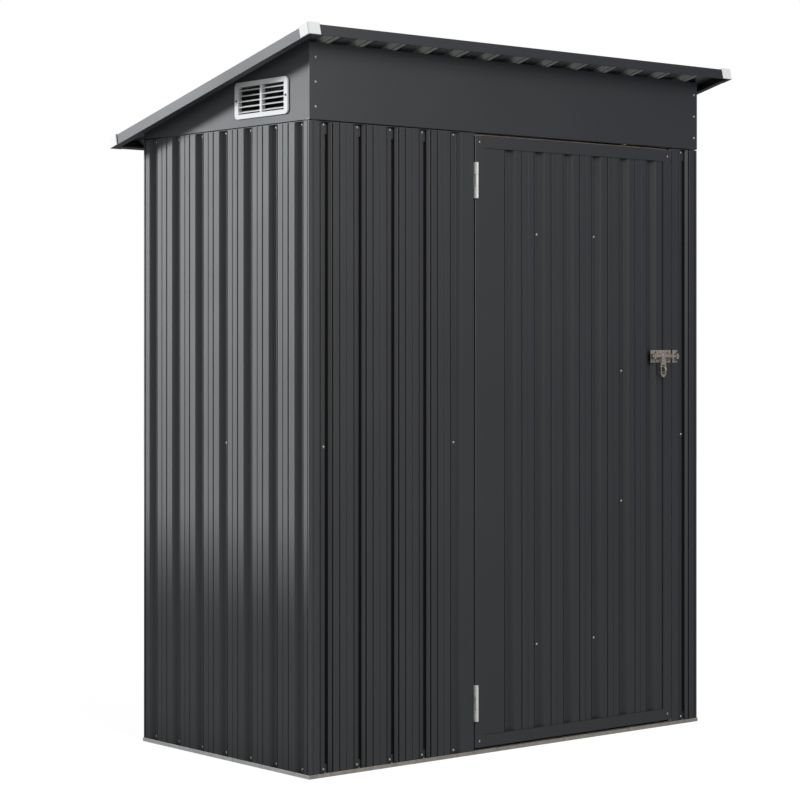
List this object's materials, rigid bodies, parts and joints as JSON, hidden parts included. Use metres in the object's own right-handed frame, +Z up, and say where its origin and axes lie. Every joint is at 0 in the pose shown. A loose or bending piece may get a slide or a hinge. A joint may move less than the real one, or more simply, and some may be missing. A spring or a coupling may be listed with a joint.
{
  "type": "metal storage shed",
  "caption": "Small dark grey steel garden shed with a lean-to roof, one outward door on the left hinge, a slide bolt with a hasp tongue, side vents and white roof corner caps.",
  "frame": {"origin": "on the ground below the middle of the whole shed's box", "axes": "+Z up, the front with the door faces -Y, +X to the right of a person who looks at the door"},
  "size_m": [1.514, 0.8908, 1.8516],
  "materials": {
    "wall_paint": "dark grey semi-gloss paint",
    "galvanised_rail": "galvanised, dull",
    "zinc_hardware": "zinc plated, satin",
    "vent_plastic": "white, satin",
    "cap_plastic": "white, satin"
  },
  "bodies": {
    "shed": {"base_front_rail": "galvanised_rail", "front_upstands": "wall_paint", "base_back_rail": "galvanised_rail", "base_left_rail": "galvanised_rail", "base_right_rail": "galvanised_rail", "corner_post_front_left": "wall_paint", "corner_post_front_right": "wall_paint", "corner_post_back_left": "wall_paint", "corner_post_back_right": "wall_paint", "door_posts": "galvanised_rail", "front_wall_left": "wall_paint", "front_wall_right": "wall_paint", "left_wall": "wall_paint", "right_wall": "wall_paint", "back_wall": "wall_paint", "wall_straps": "galvanised_rail", "top_front_rails": "wall_paint", "door_header": "galvanised_rail", "top_back_rail": "wall_paint", "top_left_rail": "wall_paint", "top_right_rail": "wall_paint", "front_fascia": "wall_paint", "fascia_posts": "wall_paint", "left_gable": "wall_paint", "right_gable": "wall_paint", "back_strip": "wall_paint", "left_vent": "vent_plastic", "right_vent": "vent_plastic", "roof_sheet": "wall_paint", "roof_beams": "galvanised_rail", "roof_trim_front": "wall_paint", "roof_trim_back": "wall_paint", "roof_trim_left": "wall_paint", "roof_trim_right": "wall_paint", "roof_caps": "cap_plastic", "hinge_leaves_wall": "zinc_hardware", "keeper": "zinc_hardware"},
    "door": {"door_stile_hinge": "wall_paint", "door_stile_latch": "wall_paint", "door_rail_top": "wall_paint", "door_rail_bottom": "wall_paint", "door_sheet": "wall_paint", "door_straps": "galvanised_rail", "hinge_leaves_door": "zinc_hardware", "latch_plate": "zinc_hardware", "latch_guides": "zinc_hardware", "staple": "zinc_hardware"},
    "latch_bolt": {"latch_bolt": "zinc_hardware"},
    "latch_tongue": {"latch_tongue": "zinc_hardware"}
  },
  "joints": [
    {"name": "door_hinge", "type": "hinge", "parent": "shed", "child": "door", "pos_m": [-0.1485, -0.37149, 0.81615], "axis": [0, 0, -1], "range_deg": [0, 110]},
    {"name": "bolt_slide", "type": "slide", "parent": "door", "child": "latch_bolt", "axis": [-1, 0, 0], "range_m": [0, 0.022]},
    {"name": "tongue_turn", "type": "hinge", "parent": "latch_bolt", "child": "latch_tongue", "pos_m": [0.543, -0.37499, 1.037], "axis": [-1, 0, 0], "range_deg": [0, 120]}
  ],
  "couplings": [
    {"joint": "bolt_slide", "follows": "tongue_turn", "m_per_rad": 0.010504}
  ]
}
